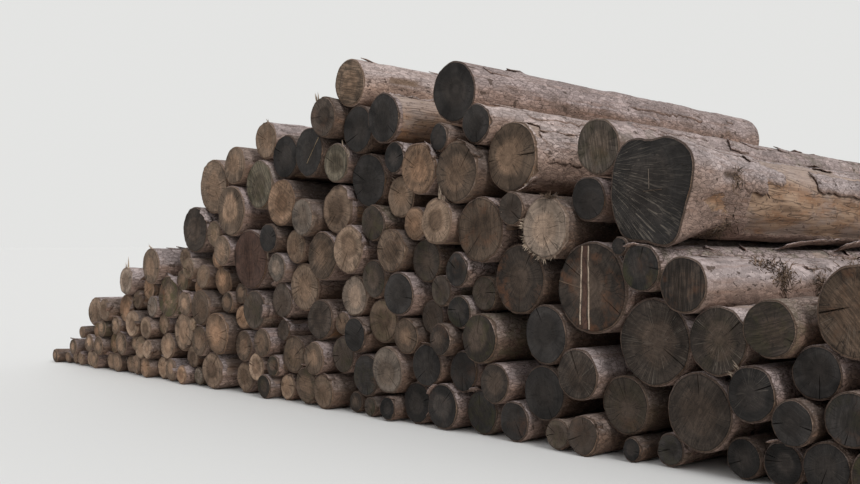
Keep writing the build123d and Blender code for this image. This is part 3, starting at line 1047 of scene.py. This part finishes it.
def make_sawn():
    """Sawn ends: growth rings, heartwood, saw marks, drying splits, stain and moss."""
    s = Shader(bpy.data.materials.new("sawn_ends"))
    spot = s.read("spot")
    x, y, z = s.split(spot)
    heart, fan, ridges = s.split(s.read("marks"))
    moss, rust = s.split(s.read("wear"))[:2]
    rim = s.split(s.read("zone"))[0]
    across = s.join(x, 0.0, z)
    radius = s.node("VectorMath", {0: across}, "Value", operation="LENGTH")
    warp = s.noise(spot, 6.0, 3.0)
    luck = y * GRAIN_TURN
    ringed = s.join(radius * s.ease(warp, 0.2, 0.8, 0.85, 1.15), luck, 0.0)
    bands = s.noise(ringed, 24.0, 2.0)
    rings = s.noise(ringed, 150.0, 1.0)

    # what runs from the pith outwards: stained wedges, drying splits and torn fibres
    inverse = 1.0 / s.highest(radius, 0.01)
    way_x, way_z = x * inverse, z * inverse
    around = s.join(way_x, radius * 0.8 + luck, way_z)
    wedges = s.noise(around, 1.7, 3.0)
    splits = s.lines(around, 5.5, 0.012, 1.0)
    spokes = s.lines(s.join(way_x, luck, way_z), 13.0, 0.02, 1.0)
    broken = s.ease(s.noise(spot, 9.0, 2.0), 0.42, 0.6)

    # the fan of torn fibres, which fades out on the far side of the face
    from_left, from_high = x + FAN_LEFT, z - FAN_HIGH
    slope = from_high / from_left
    reached = from_left + z * 0.6 + warp * 0.5
    swept = s.lines(s.join(slope, luck, 0.0), 19.0, 0.024, 2.0) \
        * s.ease(reached, 0.50, 1.05, 1.0, 0.15) * s.ease(slope, 0.7, 0.4)

    # the saw's ridges, which run one way and bow a little
    turned = s.node("VectorRotate", {
        "Vector": across, "Axis": (0.0, 1.0, 0.0), "Angle": luck}, rotation_type="AXIS_ANGLE")
    marks = s.noise(s.scale(turned, (1.0, 1.0, 0.09)), 62.0, 2.0, 0.6, 0.35)
    grooves = ridges * s.ease(marks, 0.38, 0.62)
    blotch = s.noise(spot, 4.0, 4.0, 0.6)
    speck = s.noise(spot, 170.0, 2.0)

    colour = s.vary(s.read("wood"), bands, 0.78, 1.18)
    colour = s.vary(colour, rings, 0.88, 1.1)
    inner = s.ease(rim + (warp - 0.5) * 0.8, 0.42, 0.72, 1.0, 0.0)
    colour = s.times(colour, 1.0 + heart * (inner - 0.55))
    colour = s.mix(inner * 0.25, colour, s.mix(1.0, colour, WARMTH, "MULTIPLY"))
    stain = s.ease(wedges, 0.52, 0.68) * s.ease(rim, 0.2, 0.9)
    colour = s.times(colour, 1.0 - stain * 0.45)
    colour = s.vary(colour, blotch, 1.15, 0.66, 0.35)
    # painted shade: the grooves between the saw's ridges are darker
    colour = s.times(colour, 1.12 - grooves * 0.5)
    colour = s.vary(colour, speck, 0.88, 1.1)
    colour = s.mix(rust * s.ease(s.noise(spot, 5.0, 4.0, 0.7), 0.5, 0.74), colour, RUST)
    colour = s.mix(moss * s.ease(s.noise(spot, 8.0, 4.0, 0.65), 0.44, 0.66), colour, MOSS)
    rays = spokes * broken * s.ease(rim, 0.08, 0.25) * s.highest(fan, 0.0)
    rays = s.highest(rays, swept * s.highest(fan * -0.55, 0.0))
    colour = s.mix(rays, colour, TORN_FIBRE)
    dark = splits * s.ease(rim, 0.05, 0.4) * 0.75
    colour = s.mix(dark, colour, SPLIT_SHADE)
    colour = s.vary(colour, rim, 1.0, 0.62, 0.94, 1.0)
    height = grooves * -0.8 - dark * 1.6 + rings * 0.35 + speck * 0.25
    roughness = s.ease(blotch, 0.3, 0.7, 0.72, 0.92)
    return s.finish(colour, roughness, height, 0.004, 0.25)


def make_bark():
    """Barrels: bark in plates and flakes, and the wood that shows where bark has come off."""
    s = Shader(bpy.data.materials.new("log_sides"))
    spot = s.read("spot")
    moss, _, smooth = s.split(s.read("wear"))
    bare, edge = s.split(s.read("zone"))[1:]

    def drawn(share):
        """The spot on a log whose pattern is drawn out along the barrel."""
        return s.scale(spot, (1.0, share, 1.0))

    long = drawn(0.42)
    wander = s.scale(s.noise(spot, 14.0, 2.0, output="Color"), (0.05, 0.05, 0.05))
    pushed = s.node("VectorMath", {0: wander, 1: long}, operation="ADD")
    cell_grid = {"Vector": pushed, "Scale": 34.0}
    plates = s.node("TexVoronoi", cell_grid, "Distance", feature="DISTANCE_TO_EDGE")
    cells = s.node("TexVoronoi", cell_grid, "Color", feature="F1")
    patches = s.noise(long, 5.0, 4.0, 0.6)
    flakes = s.noise(pushed, 40.0, 3.0, 0.7)
    grit = s.noise(spot, 150.0, 2.0, 0.6)
    streaks = s.noise(drawn(0.07), 22.0, 3.0, 0.6)
    up = s.split(s.node("NewGeometry", {}, "Normal"))[2]

    bark = s.vary(s.read("bark"), patches, 0.72, 1.18)
    bark = s.vary(bark, s.node("SeparateColor", {0: cells}), 0.80, 1.2, 0.0, 1.0)
    bark = s.vary(bark, grit, 0.82, 1.16)
    bark = s.mix(s.ease(streaks, 0.5, 0.72, 0.0, 0.35), bark, BARK_STREAK)
    bark = s.mix(s.ease(flakes, 0.56, 0.70, 0.0, 0.42), bark, BARK_FLAKE)
    # painted shade: the bark is darker and browner on the underside of a log
    underside_shade = s.ease(up + (patches - 0.5) * 0.8, -0.25, 0.45, 0.9, 0.0)
    bark = s.mix(underside_shade, bark, s.mix(1.0, bark, BARK_UNDERSIDE_SHADE, "MULTIPLY"))
    # painted shade, partly the darker bark itself: furrows between plates, pits and chips are
    # darkened
    furrows = s.ease(plates, 0.0, 0.10, 1.0, 0.0) * (1.0 - smooth)
    pits = s.ease(flakes, 0.40, 0.30)
    chips = s.ease(s.noise(drawn(0.6), 17.0, 2.0, 0.5), 0.66, 0.70)
    shaded_hollows = s.highest(s.highest(furrows * 0.8, pits * 0.85), chips * 0.85)
    bark = s.mix(shaded_hollows, bark, BARK_FURROW_SHADE)
    bark = s.mix(moss * s.ease(s.noise(spot, 7.0, 4.0, 0.6), 0.45, 0.62), bark, BARK_MOSS)

    grain = s.noise(drawn(0.02), 95.0, 3.0, 0.6)
    clouds = s.noise(drawn(0.3), 9.0, 4.0, 0.6)
    cracks = s.lines(drawn(0.05), 14.0, 0.016, 2.0)
    crumbs = s.ease(s.noise(spot, 34.0, 3.0, 0.7), 0.62, 0.68)
    scraps = s.ease(flakes, 0.58, 0.64)
    worn = s.mix(s.ease(clouds, 0.35, 0.65), *WORN_WOOD)
    worn = s.mix(s.ease(patches, 0.44, 0.62, 0.0, 0.8), worn, WORN_GREY)
    worn = s.mix(s.ease(streaks, 0.50, 0.68, 0.0, 0.6), worn, WORN_STREAK)
    # partly bleaching, partly painted light: bare wood is paler and greyer on top of a log
    worn = s.mix(s.ease(up, -0.1, 0.6, 0.0, 0.75), worn, SUN_BLEACH_AND_LIGHT)
    worn = s.vary(worn, grain, 0.78, 1.14)
    # painted shade in the cracks of bare wood
    worn = s.mix(cracks * 0.55, worn, WORN_CRACK_SHADE)
    worn = s.mix(crumbs * 0.6, worn, BARK_CRUMB)
    worn = s.mix(scraps * 0.75, worn, BARK_SCRAP)

    fray = s.noise(drawn(0.35), 13.0, 5.0, 0.7)
    shown = s.ease(bare + (fray - 0.5) * 2.4, 0.42, 0.6)
    rind = s.mix(0.6, s.mix(s.ease(grit, 0.4, 0.6), *RIND), s.read("wood"))
    colour = s.mix(edge, s.mix(shown, bark, worn), rind)
    relief = flakes * 1.3 + grit * 0.35 - shaded_hollows * 0.9
    fine = grain * 0.3 + scraps * 0.5 - cracks * 0.6
    height = s.node("Mix", {0: shown, 2: relief, 3: fine}, data_type="FLOAT")
    roughness = s.ease(shown, 0.0, 1.0, 0.93, 0.7)
    return s.finish(colour, roughness, height, 0.007, 0.22)


def make_camera():
    """The camera of the photograph, at eye height before the right-hand part of the face."""
    data = bpy.data.cameras.new("photo_camera")
    data.sensor_width = SENSOR_MM
    data.lens = FOCAL_PIXELS / PHOTO_WIDTH * SENSOR_MM
    data.clip_end = CLIP_END
    camera = add_object("photo_camera", data)
    camera.location = (EYE_ALONG + HEAP_LEFT, FACE_DEPTH - EYE_BEFORE, EYE_HEIGHT)
    down = atan2(HORIZON_DROP, FOCAL_PIXELS)
    camera.rotation_euler = (pi / 2 - down, 0, radians(VIEW_AZIMUTH))
    bpy.context.scene.camera = camera


def make_stage():
    """A plain pale floor, an even sky and a soft sun that grazes the face from the right."""
    steps = np.linspace(0, 2 * pi, FLOOR_CORNERS, endpoint=False)
    rim = [(FLOOR_RADIUS * cos(a), FLOOR_RADIUS * sin(a), 0.0) for a in steps]
    mesh = bpy.data.meshes.new("floor")
    mesh.from_pydata(rim, [], [tuple(range(FLOOR_CORNERS))])
    s = Shader(bpy.data.materials.new("floor"))
    cloud = s.noise(s.node("TexCoord", {}, "Object"), 0.4, 2.0)
    mesh.materials.append(s.finish(FLOOR_COLOUR, 0.9, cloud, 0.001, 0.1))
    floor = add_object("floor", mesh)

    # the sky lights the heap, and a camera or a reflection sees the backdrop instead
    bpy.context.scene.world = bpy.data.worlds.new("sky")
    s = Shader(bpy.context.scene.world)
    rays = [s.node("LightPath", {}, name)
            for name in ("Is Camera Ray", "Is Glossy Ray", "Is Transmission Ray")]
    seen = s.highest(s.highest(rays[0], rays[1]), rays[2])
    sky = s.node("Background", {"Color": WHITE, "Strength": SKY_LEVEL})
    backdrop = s.node("Background", {"Color": BACKDROP_COLOUR})
    blend = s.node("MixShader", {0: seen, 1: sky, 2: backdrop})
    s.end("OutputWorld", blend)

    lamp = bpy.data.lights.new("sun", "SUN")
    lamp.energy = SUN_LEVEL
    lamp.angle = radians(SUN_SOFTNESS)
    sun = add_object("sun", lamp)
    sun.rotation_euler = (0, radians(90 - SUN_HEIGHT), radians(-SUN_AZIMUTH))
    bpy.context.scene.view_settings.view_transform = "Standard"


make_camera()
make_stage()
logs = []
for node in sorted(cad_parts):
    logs += read_logs(node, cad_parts[node].data)
find_open_sides(logs)
give_looks(logs)
materials = [make_sawn(), make_bark()]
for node in sorted(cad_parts):
    piece = Piece()
    for log in logs:
        if log.node == node:
            add_log(piece, log)
            add_marks(piece, log)
    timber = piece.build(node.replace("_logs", "").replace("_log", "") + "_timber", materials)
    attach(timber, "root")
    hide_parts(node)
